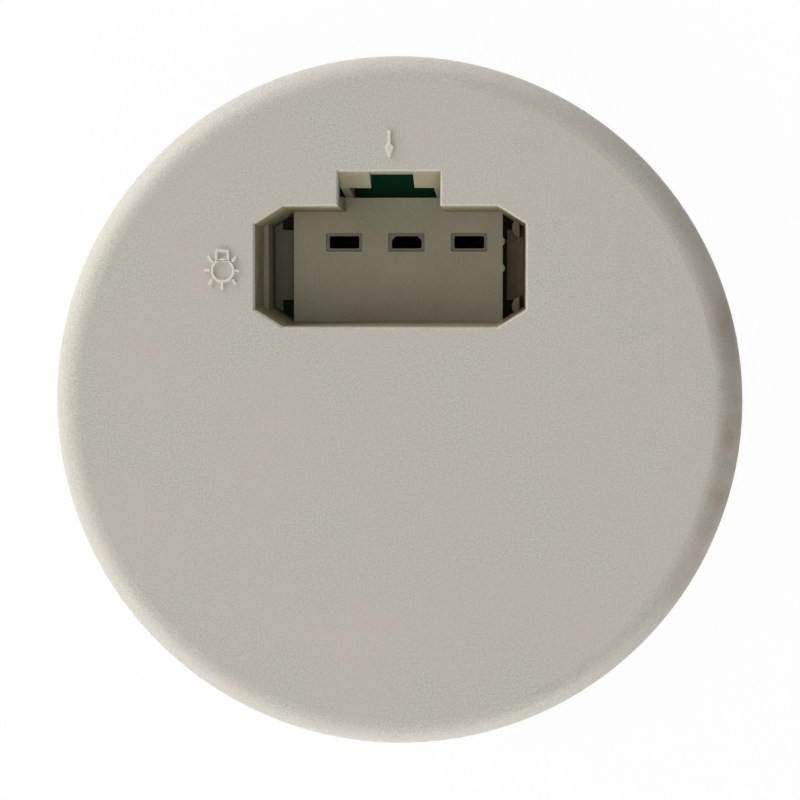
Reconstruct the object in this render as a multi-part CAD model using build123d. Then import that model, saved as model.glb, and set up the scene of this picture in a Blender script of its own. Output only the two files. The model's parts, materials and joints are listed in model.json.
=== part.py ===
"""A flush ceiling box for one lamp: round cover with a polarised plug recess, over a
claw-fixed box for a 67 mm hole. Millimetres, +Z out of the ceiling, origin under the box."""
import os
from math import cos, hypot, radians, sin, tan

from build123d import *

# Ceiling and box
hole_diameter = 67.0
hole_clearance = 0.3
box_depth = 40.0
box_wall = 1.6
box_floor = 2.0
box_foot_chamfer = 1.2
land_height = 3.4
land_step = 0.4
flange_width = 3.3
flange_thickness = 1.6

# Cover
cover_diameter = 88.0
cover_height = 5.0
cover_wall = 2.0
cover_edge_radius = 3.4
stop_ring_width = 1.4
stop_ring_inset = 1.2
grip_leg_length = 11.5
grip_leg_thickness = 1.4
grip_leg_gap = 0.3
grip_leg_relief = 0.5
grip_leg_arc = 14.0
grip_leg_angles = (38.0, 145.0, 218.0, 322.0)
grip_pad_height = 3.0
grip_tip_chamfer = 0.9
knockout_diameter = 12.0
knockout_skin = 0.6

# Plug recess in the cover
socket_x = -0.63
socket_y = 17.22
recess_width = 34.42
recess_height = 15.3
recess_cut_x = 3.6
recess_cut_y = 2.25
recess_draft = 3.0
edge_break = 0.25
shroud_wall = 1.3
table_width = 27.26
table_shift = 0.26
table_depth = 10.0
table_plate = 1.5
table_wall = 1.3
well_depth = 13.5
well_floor = 1.2
left_well_step = 0.25
right_well_step = 0.75
left_step_depth = 6.5
right_step_depth = 12.4
well_slit = 0.4
well_hole_width = 1.86
tongue_height = 9.2
tongue_offset = 0.25
well_hole_margin = 0.3
nib_radius = 1.3
nib_reach = 0.6
nib_length = 4.5
nib_back = 0.35
nib_spread = 5.1
table_rib_radius = 0.55
table_rib_reach = 0.3
table_rib_offsets = (3.3, -0.2)

# Key slot above the recess, with its two ramps
key_width = 12.96
key_shift = -0.06
key_top = 29.24
key_slant = 0.3
ramp_depth = 3.5
ramp_run = 1.97
ramp_lip = 0.35
ramp_back = 0.6
ramp_lead = 0.3
left_ramp_width = 3.9
right_ramp_width = 3.5
cheek_width = 1.05
cheek_depth = 1.5
cheek_foot = 3.0

# Contacts and their slots
contact_pitch = 8.15
contact_shift = 1.37
contact_row = 3.18
slot_width = 3.9
slot_height = 1.6
slot_frame_margin = 0.42
slot_frame_depth = 0.3
slot_corner = 0.2
middle_slot_cut = 0.55

# Socket base behind the cover
base_height = 11.8
base_side_wall = 1.2
chamber_gap = 0.4
platform_clearance = 0.2
base_reach = 4.1
base_bore_gap = 0.5
base_ledge_width = 15.4
base_ledge_thickness = 1.5
chamber_width = 5.6
chamber_roof = 1.5
mouth_height = 4.8
mouth_plate = 0.9
mouth_margin = 0.15
lid_thickness = 1.6
snap_tab_width = 6.0
snap_tab_thickness = 1.0
snap_tab_gap = 0.15
snap_tab_rise = 6.4
snap_tab_end = 1.0
snap_window_width = 3.4
snap_window_height = 1.9
snap_clearance = 0.2
snap_wedge_reach = 0.9

# Metal inside the socket base
contact_width = 4.4
contact_metal = 0.6
contact_seat = 1.5
seat_margin = 1.0
finger_narrower = 0.8
spring_narrower = 0.4
finger_base_gap = 2.4
finger_pinch_gap = 0.9
finger_flare_gap = 1.7
finger_tip_drop = 2.4
finger_pinch_drop = 1.9
finger_bend_rise = 6.0
clamp_wall_offset = 8.0
clamp_wall_height = 7.6
spring_metal = 0.35
spring_root_height = 8.2
spring_bend_radius = 0.8
spring_bend_drop = 0.75
spring_tip_rise = 5.6
spring_tip_gap = 0.12

# Release buttons and wire holes in the lid
button_width = 3.8
button_thickness = 2.2
button_clearance = 0.1
button_collar = 0.55
button_collar_height = 0.8
button_travel = 1.6
button_rest_height = 0.3
button_spring_gap = 0.2
button_spring_space = 0.9
wire_hole_diameter = 2.8
wire_hole_spacing = 2.9
wire_funnel = 0.5
wire_wall_gap = 0.1

# Claws, their nuts and screws
claw_hub_wall = 0.9
claw_metal = 1.2
claw_height = 11.0
claw_reach = 10.5
claw_tip_width = 4.4
claw_bottom = 5.0
claw_hub_gap = 0.06
claw_tooth_height = 1.5
claw_tooth_pitch = 2.0
claw_tooth_count = 3
claw_tooth_width = 0.9
claw_gap = 0.3
nut_spigot_radius = 3.0
nut_front = 3.2
nut_half_width = 3.6
nut_end = 0.2
screw_radius = 2.0
screw_fit = 0.05
screw_hole_fit = 0.08
screw_head_radius = 3.2
screw_head_height = 2.4
screw_head_drop = 1.6
screw_head_chamfer = 0.8
screw_well_gap = 0.4
screw_well_wall = 1.0
screw_roof = 2.0
screw_tip_depth = 1.5
screw_tip_chamfer = 0.6
cross_width = 1.1
cross_length = 4.4
cross_depth = 1.6
pocket_floor = 3.0
pocket_side_gap = 0.5
pocket_wall = 1.6

# Suspension insert in the middle of the floor
insert_bore_radius = 2.5
insert_radius = 3.6
insert_flange_radius = 4.6
insert_flange_thickness = 1.2
insert_flange_inset = 0.3
insert_gap = 0.05
boss_radius = 5.0
boss_height = 12.0
boss_gusset = 1.2
boss_gusset_reach = 4.0
boss_gusset_drop = 1.0

# Conduit entries: soft membranes in the floor, break-out discs in the wall
entry_margin = 0.3
large_entry_radius = 10.2
large_entry_distance = 18.5
membrane_lip = 0.7
membrane_lip_thickness = 0.7
membrane_neck = 0.9
membrane_web = 0.5
membrane_root = 0.8
membrane_gap = 0.05
membrane_dome = 2.2
membrane_nipple_radius = 3.0
breakout_radius = 10.25
breakout_groove = 1.0
breakout_web = 0.7
breakout_height = 16.0
breakout_angles = (60.0, 120.0, 240.0, 300.0)

# Levels and radii that follow from the values above
ceiling_z = box_depth
flange_z = ceiling_z + flange_thickness
face_z = ceiling_z + cover_height
inner_face_z = face_z - cover_wall
box_radius = hole_diameter / 2 - hole_clearance
barrel_radius = box_radius - land_step
bore_radius = box_radius - box_wall
flange_radius = box_radius + flange_width
cover_radius = cover_diameter / 2
table_z = face_z - table_depth
well_z = face_z - well_depth
shroud_foot_z = well_z - well_floor
base_foot_z = shroud_foot_z - base_height
lid_foot_z = base_foot_z - lid_thickness
socket_reach_radius = bore_radius - base_bore_gap
table_left = socket_x + table_shift - table_width / 2
table_right = table_left + table_width
recess_top = socket_y + recess_height / 2
recess_bottom = socket_y - recess_height / 2
shroud_top = recess_top + shroud_wall
key_left = socket_x + key_shift - key_width / 2
key_right = key_left + key_width
ramp_foot_z = face_z - ramp_depth
ramp_foot_y = key_top - ramp_run
slot_y = socket_y + contact_row
contact_xs = [socket_x + contact_shift + contact_pitch * step for step in (-1, 0, 1)]
pole_names = ("left", "middle", "right")
base_low_y = recess_bottom - shroud_wall - base_reach
chamber_low_y = base_low_y + base_side_wall + chamber_gap
chamber_high_y = recess_top - base_side_wall - chamber_gap
button_proud = button_travel + button_rest_height
screw_seat_z = ceiling_z - screw_head_drop
pocket_roof_z = screw_seat_z - screw_roof
claw_hub_radius = nut_spigot_radius + claw_hub_wall
claw_axis_radius = box_radius - screw_well_wall - screw_well_gap - screw_head_radius
pocket_back_x = claw_axis_radius - claw_hub_radius - claw_gap
entry_inner = boss_radius + entry_margin
entry_outer = pocket_back_x - pocket_wall - entry_margin
small_entry_distance = (entry_outer + entry_inner) / 2
small_entry_radius = (entry_outer - entry_inner) / 2 - membrane_lip
tiny = 0.02


def block(x0, x1, y0, y1, z0, z1):
    """A box between two corners."""
    centre = Pos((x0 + x1) / 2, (y0 + y1) / 2, (z0 + z1) / 2)
    return centre * Box(x1 - x0, y1 - y0, z1 - z0)


def rod(radius, z0, z1, x=0.0, y=0.0):
    """An upright cylinder between two levels."""
    return Pos(x, y, (z0 + z1) / 2) * Cylinder(radius, z1 - z0)


def ring(outer, inner, z0, z1, x=0.0, y=0.0):
    """An upright tube between two levels."""
    return rod(outer, z0, z1, x, y) - rod(inner, z0 - tiny, z1 + tiny, x, y)


def plate(points, z0, z1):
    """A flat outline in X and Y, thickened between two levels."""
    outline = Polygon(*points, align=None)
    return Pos(0, 0, z0) * extrude(outline, z1 - z0, dir=(0, 0, 1))


def side_profile(points, x0, x1):
    """An outline in Y and Z, thickened between two places along X."""
    outline = Plane.YZ * Polygon(*points, align=None)
    return Pos(x0, 0, 0) * extrude(outline, x1 - x0, dir=(1, 0, 0))


def side_strip(path, metal, x, width):
    """A metal strip of even thickness that follows a path in Y and Z."""
    face = Plane.YZ * trace(path, metal)
    return Pos(x - width / 2, 0, 0) * extrude(face, width, dir=(1, 0, 0))


def turned(points):
    """An outline in radius and height, turned about the Z axis."""
    outline = Plane.XZ * Polygon(*points, align=None)
    return revolve(outline, Axis.Z)


def sector(outer, inner, z0, z1, angle, arc):
    """A piece of a tube, centred on one angle."""
    half = radians(arc / 2)
    reach = outer / cos(half)
    wedge = plate([(0, 0), (reach * cos(half), -reach * sin(half)),
                   (reach * cos(half), reach * sin(half))], z0, z1)
    return Rot(0, 0, angle) * (ring(outer, inner, z0, z1) & wedge)


def recess_points(grow):
    """The recess outline, a rectangle with four cut corners, moved outwards by grow."""
    half_width = recess_width / 2 + grow
    half_height = recess_height / 2 + grow
    slope = hypot(recess_cut_x, recess_cut_y)
    cut_x = recess_cut_x + grow * (1 - (slope - recess_cut_x) / recess_cut_y)
    cut_y = recess_cut_y + grow * (1 - (slope - recess_cut_y) / recess_cut_x)
    corner = [(half_width, half_height - cut_y), (half_width - cut_x, half_height)]
    upper = corner + [(-x, y) for x, y in reversed(corner)]
    lower = [(-x, -y) for x, y in upper]
    return [(socket_x + x, socket_y + y) for x, y in upper + lower]


def recess_face(grow, z):
    """The recess outline as a face at one level."""
    return Pos(0, 0, z) * Polygon(*recess_points(grow), align=None)


def key_face(grow, z):
    """The key slot outline as a face at one level."""
    low = recess_top - 2 * shroud_wall
    corners = [(key_left - grow, low), (key_right + grow, low),
               (key_right + grow, key_top + grow), (key_left - grow, key_top + grow)]
    return Pos(0, 0, z) * Polygon(*corners, align=None)


def slot_face(x, grow, z):
    """The outline of one contact slot, with small round corners."""
    outline = RectangleRounded(slot_width + 2 * grow, slot_height + 2 * grow, slot_corner)
    return Pos(x, slot_y, z) * outline


def cover_dish():
    """The round cover plate with its rolled rim, stop ring and thin place for a hook."""
    outside = rod(cover_radius, ceiling_z, face_z)
    outside = fillet(outside.edges().group_by(Axis.Z)[-1], cover_edge_radius)
    inside = rod(cover_radius - cover_wall, ceiling_z - 1, inner_face_z)
    inside = chamfer(inside.edges().group_by(Axis.Z)[-1], cover_edge_radius - cover_wall)
    stop_outer = flange_radius - stop_ring_inset
    stop_ring = ring(stop_outer, stop_outer - stop_ring_width, flange_z, inner_face_z + tiny)
    knockout = rod(knockout_diameter / 2, inner_face_z - 1, face_z - knockout_skin)
    return outside - inside + stop_ring - knockout


def grip_legs():
    """Sprung legs on the cover's back that rub in the mouth of the box."""
    outer = bore_radius - grip_leg_gap
    inner = outer - grip_leg_thickness
    top = inner_face_z + tiny
    foot = inner_face_z - grip_leg_length
    pad_foot = foot + grip_tip_chamfer
    profile = [(inner, top), (inner, foot), (outer - grip_tip_chamfer, foot),
               (outer, pad_foot), (outer, pad_foot + grip_pad_height),
               (outer - grip_leg_relief, pad_foot + grip_pad_height + grip_leg_relief),
               (outer - grip_leg_relief, top)]
    legs = []
    whole = turned(profile)
    for angle in grip_leg_angles:
        legs.append(whole & sector(outer + 1, inner - 1, foot - 1, top, angle, grip_leg_arc))
    return legs


def shroud():
    """The tube behind the recess, with the raised table that carries the contact slots."""
    walls = extrude(recess_face(shroud_wall, shroud_foot_z), inner_face_z + tiny - shroud_foot_z)
    rise = 1.0
    slope = tan(radians(recess_draft))
    pocket = loft([recess_face(rise * slope, face_z + rise),
                   recess_face(-well_depth * slope, well_z)], ruled=True)
    table = block(table_left, table_right, recess_bottom - tiny, recess_top + tiny,
                  well_z - tiny, table_z)
    hollow = block(table_left + table_wall, table_right - table_wall, recess_bottom,
                   recess_top, shroud_foot_z - 1, table_z - table_plate)
    return walls, pocket, table, hollow


def well_steps():
    """Thicker lower walls at both ends of the recess, with round ribs on the right one."""
    slope = tan(radians(recess_draft))
    left = socket_x - recess_width / 2
    right = socket_x + recess_width / 2
    low = recess_bottom
    high = recess_top
    left_face = left + well_depth * slope + left_well_step
    right_face = right - well_depth * slope - right_well_step
    steps = [block(left - tiny, left_face, low, high, well_z - tiny, face_z - left_step_depth),
             block(right_face, right + tiny, low, high, well_z - tiny, face_z - right_step_depth)]
    for side in (-1, 1):
        nib_x = right_face + nib_radius - nib_reach
        nib_y = socket_y + side * nib_spread
        nib = rod(nib_radius, well_z - tiny, well_z + nib_length, nib_x, nib_y)
        steps.append(nib & block(left, right_face + nib_back, low, high, well_z - 1, face_z))
    for offset in table_rib_offsets:
        rib_x = table_right + table_rib_reach - table_rib_radius
        steps.append(rod(table_rib_radius, shroud_foot_z, table_z, rib_x, socket_y + offset))
    inside = extrude(recess_face(tiny, shroud_foot_z), face_z - shroud_foot_z)
    return [step & inside for step in steps]


def well_openings():
    """Through holes and slits in the well floors that leave a tongue in each."""
    slope = tan(radians(recess_draft))
    inset = well_depth * slope + well_hole_margin
    low = recess_bottom + inset
    high = recess_top - inset
    tongue_low = socket_y + tongue_offset - tongue_height / 2
    tongue_high = tongue_low + tongue_height
    z0 = shroud_foot_z - 1
    z1 = well_z + 1
    cuts = []
    for edge, outward in ((table_left, -1), (table_right, 1)):
        slit = sorted((edge, edge + outward * well_slit))
        hole = sorted((edge, edge + outward * well_hole_width))
        cuts.append(block(slit[0], slit[1], low, high, z0, z1))
        cuts.append(block(hole[0], hole[1], low, tongue_low, z0, z1))
        cuts.append(block(hole[0], hole[1], tongue_high, high, z0, z1))
    return cuts


def key_ramps():
    """Two ramps that lead the plug's latch in, each on a slanting cheek, and the slot's slant."""
    back = key_top + ramp_back
    top = inner_face_z + tiny
    ramp = [(key_top + tiny, face_z - ramp_lead), (ramp_foot_y + ramp_lip / 2, ramp_foot_z + ramp_lip),
            (ramp_foot_y, ramp_foot_z), (back, ramp_foot_z), (back, top), (key_top + tiny, top)]
    cheek = [(ramp_foot_y, ramp_foot_z + tiny), (back, ramp_foot_z + tiny),
             (ramp_foot_y + cheek_depth / 2, table_z), (shroud_top - tiny, table_z - cheek_foot),
             (shroud_top - tiny, table_z)]
    slant = [(key_top + tiny, face_z - edge_break), (key_top - key_slant, inner_face_z),
             (key_top + tiny, inner_face_z)]
    pieces = [side_profile(ramp, key_left - tiny, key_left + left_ramp_width),
              side_profile(ramp, key_right - right_ramp_width, key_right + tiny),
              side_profile(slant, key_left - tiny, key_right + tiny)]
    for start in (key_left, key_right - cheek_width):
        pieces.append(side_profile(cheek, start, start + cheek_width))
    return pieces


def contact_slots():
    """Through slots with shallow frames; the middle one has cut upper corners."""
    cuts = []
    for index, x in enumerate(contact_xs):
        slot = extrude(slot_face(x, 0, table_z - table_plate - 1), table_plate + 2)
        frame = extrude(slot_face(x, slot_frame_margin, table_z - slot_frame_depth), 1)
        if index == 1:
            top = slot_y + slot_height / 2
            for side in (-1, 1):
                edge = x + side * slot_width / 2
                corner = [(edge, top), (edge - side * middle_slot_cut, top),
                          (edge, top - middle_slot_cut)]
                slot -= plate(corner, table_z - table_plate - 2, table_z + 2)
        cuts += [slot, frame]
    return cuts


def snap_wedge(side, foot, rise):
    """A wedge on a side wall that clicks into the window of a snap tab."""
    wall = socket_x + side * (recess_width / 2 + shroud_wall)
    half = snap_window_width / 2 - snap_clearance
    height = snap_window_height - 2 * snap_clearance
    low = foot + rise
    outline = [(wall - side * tiny, low), (wall + side * snap_wedge_reach, low + height),
               (wall - side * tiny, low + height)]
    if rise < 0:
        outline = [(wall - side * tiny, low), (wall + side * snap_wedge_reach, low),
                   (wall - side * tiny, low + height)]
    face = Plane.XZ * Polygon(*outline, align=None)
    return Pos(0, socket_y + half, 0) * extrude(face, 2 * half, dir=(0, -1, 0))


def snap_tab(side, root, tip, window):
    """A flat tab beside a side wall, with a window at one level for the wedge."""
    wall = socket_x + side * (recess_width / 2 + shroud_wall)
    inner = wall + side * snap_tab_gap
    outer = inner + side * snap_tab_thickness
    x0, x1 = sorted((inner, outer))
    half = snap_tab_width / 2
    tab = block(x0, x1, socket_y - half, socket_y + half, root, tip)
    hole_half = snap_window_width / 2
    hole = block(x0 - 1, x1 + 1, socket_y - hole_half, socket_y + hole_half,
                 window, window + snap_window_height)
    return tab - hole


def make_cover():
    """The front cover, one moulding."""
    walls, pocket, table, hollow = shroud()
    key = loft([key_face(0, table_z), key_face(0, face_z + 1)], ruled=True)
    flare = loft([recess_face(edge_break + tiny, face_z + tiny), recess_face(0, face_z - edge_break)],
                 ruled=True)
    key_flare = loft([key_face(edge_break + tiny, face_z + tiny), key_face(0, face_z - edge_break)],
                     ruled=True)
    body = cover_dish() + walls
    body = body - pocket - flare - key_flare
    body += table
    for step in well_steps():
        body += step
    for cut in well_openings():
        body -= cut
    body = body - hollow - key
    for piece in key_ramps():
        body += piece
    for cut in contact_slots():
        body -= cut
    for leg in grip_legs():
        body += leg
    for side in (-1, 1):
        body += snap_wedge(side, shroud_foot_z, snap_tab_rise - snap_window_height)
    return body


def base_outline(z0, z1):
    """The block behind the shroud, longer towards the middle of the box."""
    points = recess_points(shroud_wall)
    lowered = [(x, y if y > socket_y else y - base_reach) for x, y in points]
    return plate(lowered, z0, z1)


def make_socket_base():
    """The green moulding that holds the contacts behind the slots."""
    body = base_outline(base_foot_z, shroud_foot_z)
    ledge = block(socket_x - base_ledge_width / 2, socket_x + base_ledge_width / 2, socket_y,
                  socket_reach_radius, shroud_foot_z - base_ledge_thickness, shroud_foot_z)
    platform = block(table_left + table_wall + platform_clearance,
                     table_right - table_wall - platform_clearance,
                     recess_bottom + platform_clearance, recess_top - platform_clearance,
                     shroud_foot_z - tiny, table_z - table_plate)
    body = body + ledge + platform
    body &= rod(socket_reach_radius, base_foot_z - 1, table_z)
    platform_top = table_z - table_plate
    for x in contact_xs:
        half = chamber_width / 2
        body -= block(x - half, x + half, chamber_low_y, chamber_high_y, base_foot_z - 1,
                      shroud_foot_z - chamber_roof)
        body -= block(x - contact_width / 2 - snap_clearance, x + contact_width / 2 + snap_clearance,
                      slot_y - mouth_height / 2, slot_y + mouth_height / 2,
                      shroud_foot_z - chamber_roof - 1, platform_top - mouth_plate)
        body -= extrude(slot_face(x, mouth_margin, platform_top - mouth_plate - 1), mouth_plate + 2)
    for side in (-1, 1):
        body += snap_root(side, shroud_foot_z - base_ledge_thickness, shroud_foot_z)
        body += snap_tab(side, shroud_foot_z - tiny, shroud_foot_z + snap_tab_rise + snap_tab_end,
                         shroud_foot_z + snap_tab_rise - snap_window_height - snap_clearance)
        body += snap_wedge(side, base_foot_z, snap_tab_rise - snap_window_height)
    return body


def snap_root(side, z0, z1):
    """The step that joins a snap tab to its own wall."""
    wall = socket_x + side * (recess_width / 2 + shroud_wall)
    outer = wall + side * (snap_tab_gap + snap_tab_thickness)
    x0, x1 = sorted((wall - side * tiny, outer))
    half = snap_tab_width / 2
    return block(x0, x1, socket_y - half, socket_y + half, z0, z1)


def clamp_wall_y():
    """Where the contact's upright clamping wall stands."""
    return slot_y - clamp_wall_offset


def button_y():
    """The middle of a release button, under the clamp spring's free leg."""
    return chamber_low_y + spring_metal + button_spring_space + button_thickness / 2


def wire_y():
    """The middle of the wire holes, beside the clamping wall."""
    return clamp_wall_y() - wire_hole_diameter / 2 - wire_wall_gap


def make_lid():
    """The rear lid of the socket base, with wire holes and button slots."""
    body = base_outline(lid_foot_z, base_foot_z)
    body &= rod(socket_reach_radius, lid_foot_z - 1, base_foot_z + 1)
    for x in contact_xs:
        half = contact_width / 2
        body += block(x - half, x + half, slot_y - mouth_height / 2, slot_y + seat_margin,
                      base_foot_z - tiny, base_foot_z + contact_seat)
        slot = Rectangle(button_width + 2 * button_clearance, button_thickness + 2 * button_clearance)
        body -= Pos(x, button_y(), lid_foot_z - 1) * extrude(slot, lid_thickness + 2)
        for side in (-1, 1):
            hole_x = x + side * wire_hole_spacing / 2
            body -= rod(wire_hole_diameter / 2, lid_foot_z - 1, base_foot_z + 1, hole_x, wire_y())
            wide = wire_hole_diameter / 2 + wire_funnel - tiny
            funnel = Cone(wide, wire_hole_diameter / 2, wire_funnel)
            body -= Pos(hole_x, wire_y(), lid_foot_z + wire_funnel / 2) * funnel
    for side in (-1, 1):
        body += snap_root(side, lid_foot_z, base_foot_z)
        body += snap_tab(side, base_foot_z - tiny, base_foot_z + snap_tab_rise + snap_tab_end,
                         base_foot_z + snap_tab_rise - snap_window_height - snap_clearance)
    return body


def make_contact(x):
    """A brass contact: a fork under the slot, a floor strip and a clamping wall."""
    floor_z = base_foot_z + contact_seat
    tip_z = table_z - table_plate - mouth_plate - finger_tip_drop
    pinch_z = tip_z - finger_pinch_drop
    bend_z = floor_z + finger_bend_rise
    low = clamp_wall_y()
    half_metal = contact_metal / 2
    body = block(x - contact_width / 2, x + contact_width / 2, low, slot_y + finger_base_gap / 2
                 + contact_metal, floor_z, floor_z + contact_metal)
    body += block(x - contact_width / 2, x + contact_width / 2, low, low + contact_metal,
                  floor_z, floor_z + clamp_wall_height)
    for side in (-1, 1):
        levels = [(finger_base_gap, floor_z + half_metal), (finger_base_gap, bend_z),
                  (finger_pinch_gap, pinch_z), (finger_flare_gap, tip_z)]
        path = Polyline(*[(slot_y + side * (gap / 2 + half_metal), z) for gap, z in levels])
        body += side_strip(path, contact_metal, x, contact_width - finger_narrower)
    return body


def spring_points():
    """Corners of the clamp spring: anchored leg, bend, free leg against the clamping wall."""
    root_y = chamber_low_y + spring_metal / 2
    bend_z = base_foot_z + spring_bend_drop + spring_metal / 2
    tip_y = clamp_wall_y() - spring_tip_gap - spring_metal / 2
    return [(root_y, bend_z + spring_root_height), (root_y, bend_z), (tip_y, bend_z + spring_tip_rise)]


def make_spring(x):
    """A stainless clamp spring, bent to a V."""
    path = FilletPolyline(*spring_points(), radius=spring_bend_radius)
    return side_strip(path, spring_metal, x, contact_width - spring_narrower)


def make_button(x):
    """A release button that is pushed in from the back and opens the clamp spring."""
    (_, _), (bend_y, bend_z), (tip_y, tip_z) = spring_points()
    slope = (tip_z - bend_z) / (tip_y - bend_y)
    lift = (spring_metal / 2 + button_spring_gap) * hypot(1, slope)
    near = button_y() - button_thickness / 2
    far = button_y() + button_thickness / 2
    outline = [(near, lid_foot_z - button_proud), (far, lid_foot_z - button_proud),
               (far, bend_z + slope * (far - bend_y) - lift),
               (near, bend_z + slope * (near - bend_y) - lift)]
    stem = side_profile(outline, x - button_width / 2, x + button_width / 2)
    half = button_width / 2 + button_collar
    collar = block(x - half, x + half, near, far, base_foot_z, base_foot_z + button_collar_height)
    return stem + collar


def claw_frame(side):
    """Turns a piece made for the right-hand claw to the left-hand one."""
    return Rot(0, 0, 0) if side == "right" else Rot(0, 0, 180)


def make_claw(side):
    """A steel strip bent to a C, folded away beside its screw."""
    z0 = claw_bottom
    z1 = claw_bottom + claw_height
    outside = block(-claw_hub_radius, claw_hub_radius, -claw_hub_radius, claw_reach, z0, z1)
    far_edges = outside.edges().filter_by(Axis.X).group_by(Axis.Y)[-1]
    outside = fillet(far_edges, claw_metal)
    inside = block(-claw_hub_radius - 1, claw_hub_radius + 1, -claw_hub_radius - 1,
                   claw_reach - claw_metal, z0 + claw_metal, z1 - claw_metal)
    tip = claw_tip_width / 2
    plan = rod(claw_hub_radius, z0 - 1, z1 + 1)
    plan += plate([(-claw_hub_radius, 0), (claw_hub_radius, 0), (tip, claw_reach + 1),
                   (-tip, claw_reach + 1)], z0 - 1, z1 + 1)
    body = (outside - inside) & plan
    body -= rod(nut_spigot_radius + claw_hub_gap, z0 - 1, z1 + 1)
    for edge in (-1, 1):
        for index in range(claw_tooth_count):
            centre = claw_reach - claw_metal - claw_tooth_pitch * (index + 0.5)
            foot = claw_tooth_pitch / 2
            tooth = [(centre - foot, z1 - tiny), (centre + foot, z1 - tiny),
                     (centre, z1 + claw_tooth_height)]
            x0, x1 = sorted((edge * tip, edge * (tip - claw_tooth_width)))
            body += side_profile(tooth, x0, x1)
    return claw_frame(side) * (Pos(claw_axis_radius, 0, 0) * body)


def make_nut(side):
    """The threaded block that climbs the screw and carries the claw on two spigots."""
    z0 = claw_bottom + claw_metal + claw_gap
    z1 = claw_bottom + claw_height - claw_metal - claw_gap
    body = block(-claw_hub_radius, nut_front, -nut_half_width, nut_half_width, z0, z1)
    body += rod(nut_spigot_radius, claw_bottom - nut_end, claw_bottom + claw_height + nut_end)
    body -= rod(screw_radius + screw_fit, claw_bottom - 2, claw_bottom + claw_height + 2)
    return claw_frame(side) * (Pos(claw_axis_radius, 0, 0) * body)


def make_screw(side):
    """A claw screw with a rounded head and a cross recess."""
    tip_z = pocket_floor - screw_tip_depth
    head_z = screw_seat_z + screw_head_height
    shank = rod(screw_radius, tip_z, screw_seat_z + tiny)
    shank = chamfer(shank.edges().group_by(Axis.Z)[0], screw_tip_chamfer)
    head = rod(screw_head_radius, screw_seat_z, head_z)
    head = chamfer(head.edges().group_by(Axis.Z)[-1], screw_head_chamfer)
    half_long = cross_length / 2
    half_wide = cross_width / 2
    cross = block(-half_long, half_long, -half_wide, half_wide, head_z - cross_depth, head_z + 1)
    cross += block(-half_wide, half_wide, -half_long, half_long, head_z - cross_depth, head_z + 1)
    return claw_frame(side) * (Pos(claw_axis_radius, 0, 0) * (shank + head - cross))


def claw_tower():
    """The walls round one claw pocket, and the pocket with its screw holes."""
    low = -claw_hub_radius - pocket_side_gap
    high = claw_reach + pocket_side_gap
    walls = block(pocket_back_x - pocket_wall, box_radius, low - pocket_wall, high + pocket_wall,
                  box_foot_chamfer, flange_z)
    walls &= rod(barrel_radius - tiny, 0, flange_z)
    pocket = block(pocket_back_x, box_radius + 1, low, high, pocket_floor, pocket_roof_z)
    well = rod(screw_head_radius + screw_well_gap, screw_seat_z, flange_z + 1, claw_axis_radius)
    hole = rod(screw_radius + screw_hole_fit, pocket_floor - screw_tip_depth, flange_z,
               claw_axis_radius)
    return walls, [pocket, well, hole]


def breakout_grooves():
    """Round grooves in the wall that mark break-out discs for side conduits."""
    shell = ring(box_radius + 1, bore_radius + breakout_web, 0, ceiling_z)
    tool = Cylinder(breakout_radius, box_radius) - Cylinder(breakout_radius - breakout_groove,
                                                           box_radius)
    tool = Pos(box_radius, 0, breakout_height) * (Rot(0, 90, 0) * tool)
    groove = shell & tool
    return [Rot(0, 0, angle) * groove for angle in breakout_angles]


def entries():
    """Radius and middle of each conduit entry in the floor."""
    return {"membrane_right": (small_entry_radius, small_entry_distance, 0.0),
            "membrane_left": (small_entry_radius, -small_entry_distance, 0.0),
            "membrane_top": (large_entry_radius, 0.0, large_entry_distance),
            "membrane_bottom": (large_entry_radius, 0.0, -large_entry_distance)}


def boss_gussets():
    """Four diagonal ribs that brace the suspension boss."""
    foot = boss_radius + boss_gusset_reach
    outline = [(0, box_floor - tiny), (foot, box_floor - tiny),
               (0, box_floor + boss_height - boss_gusset_drop)]
    face = Plane.XZ * Polygon(*outline, align=None)
    rib = Pos(0, boss_gusset / 2, 0) * extrude(face, boss_gusset, dir=(0, -1, 0))
    return [Rot(0, 0, 45 + 90 * index) * rib for index in range(4)]


def make_box():
    """The box in the ceiling, one moulding."""
    body = rod(barrel_radius, 0, flange_z)
    body = chamfer(body.edges().group_by(Axis.Z)[0], box_foot_chamfer)
    body += rod(box_radius, ceiling_z - land_height, flange_z)
    body += rod(flange_radius, ceiling_z, flange_z)
    body -= rod(bore_radius, box_floor, flange_z + 1)
    walls, cuts = claw_tower()
    for side in ("left", "right"):
        turn = claw_frame(side)
        body += turn * walls
        for cut in cuts:
            body -= turn * cut
    body += rod(boss_radius, box_floor - tiny, box_floor + boss_height)
    for rib in boss_gussets():
        body += rib
    body -= rod(insert_radius + insert_gap, -1, box_floor + boss_height + 1)
    body -= rod(insert_flange_radius + insert_gap, -1, insert_flange_inset + insert_flange_thickness)
    for radius, x, y in entries().values():
        body -= rod(radius, -1, box_floor + 1, x, y)
    for groove in breakout_grooves():
        body -= groove
    return body


def make_insert():
    """The steel suspension insert, whose flange bears on the back of the floor."""
    top = box_floor + boss_height
    body = rod(insert_radius, insert_flange_inset, top)
    body += rod(insert_flange_radius, insert_flange_inset,
                insert_flange_inset + insert_flange_thickness)
    return body - rod(insert_bore_radius, 0, top + 1)


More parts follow.
